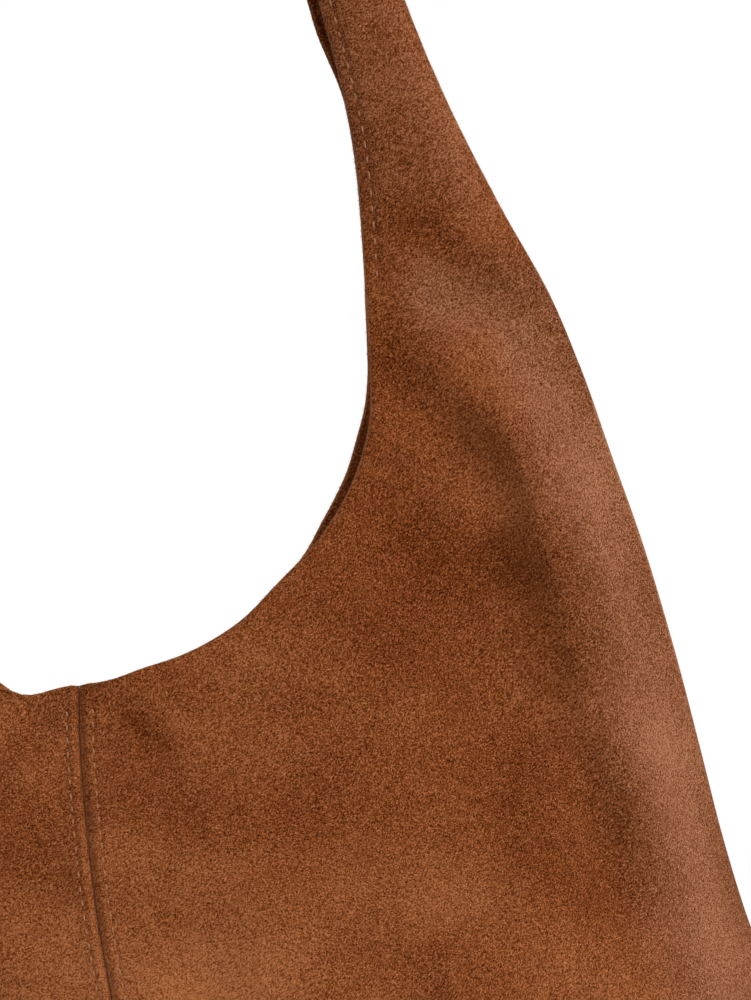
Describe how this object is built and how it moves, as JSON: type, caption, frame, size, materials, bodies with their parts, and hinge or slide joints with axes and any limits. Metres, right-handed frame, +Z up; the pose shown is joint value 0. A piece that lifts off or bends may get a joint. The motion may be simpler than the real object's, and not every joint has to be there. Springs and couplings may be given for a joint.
{
  "type": "hobo bag",
  "caption": "Slouchy suede hobo bag with a scooped mouth, an integral shoulder strap that folds at its roots, a magnetic tab closure and inside pockets.",
  "frame": {"origin": "middle of the base's underside, where the bag stands", "axes": "+Z up, from the base to the top of the strap; +X across the bag to its right seen from the front; +Y from the front to the back"},
  "size_m": [0.462, 0.1402, 0.604],
  "materials": {
    "suede": "napped suede",
    "facing_suede": "napped suede",
    "lining_cloth": "woven cotton twill",
    "zip_welt_leather": "smooth leather",
    "board": "matte",
    "zip_tape": "woven tape",
    "strap_tape": "woven webbing",
    "zip_metal": "aged brass",
    "snap_metal": "brushed nickel"
  },
  "bodies": {
    "bag": {"front_panel_left": "suede", "front_panel_right": "suede", "back_panel_left": "suede", "back_panel_right": "suede", "base_panel": "suede", "base_board": "board", "facing_front": "facing_suede", "facing_back": "facing_suede", "lining_front": "lining_cloth", "lining_back": "lining_cloth", "slip_pocket": "lining_cloth", "zip_pocket_bag": "lining_cloth", "zip_welt": "zip_welt_leather", "zip_tape_upper": "zip_tape", "zip_tape_lower": "zip_tape", "zip_teeth_upper": "zip_metal", "zip_teeth_lower": "zip_metal", "zip_stops": "zip_metal", "snap_socket": "snap_metal", "snap_socket_washer": "snap_metal", "closure_tab_root": "facing_suede", "closure_tab_bridge": "facing_suede", "strap_root_left": "suede", "strap_root_right": "suede"},
    "strap": {"strap_front_left": "suede", "strap_front_right": "suede", "strap_back_left": "suede", "strap_back_right": "suede", "strap_webbing": "strap_tape"},
    "closure_tab": {"closure_tab": "facing_suede", "snap_stud": "snap_metal", "snap_stud_washer": "snap_metal"},
    "zip_slider": {"zip_slider": "zip_metal"},
    "zip_pull": {"zip_pull": "zip_metal"}
  },
  "joints": [
    {"name": "strap_fold", "type": "hinge", "parent": "bag", "child": "strap", "pos_m": [0, 0, 0.371], "axis": [1, 0, 0], "range_deg": [-120, 120], "deforming": ["strap_root_left", "strap_root_right"]},
    {"name": "closure_release", "type": "slide", "parent": "bag", "child": "closure_tab", "axis": [0, 1, 0], "range_m": [0, 0.018], "deforming": ["closure_tab_bridge"]},
    {"name": "zip_slide", "type": "slide", "parent": "bag", "child": "zip_slider", "axis": [1, 0, 0], "range_m": [0, 0.12]},
    {"name": "zip_pull_swing", "type": "hinge", "parent": "zip_slider", "child": "zip_pull", "pos_m": [-0.06, 0.02813, 0.20512], "axis": [0, 0.2924, -0.9563], "range_deg": [0, 170]}
  ]
}
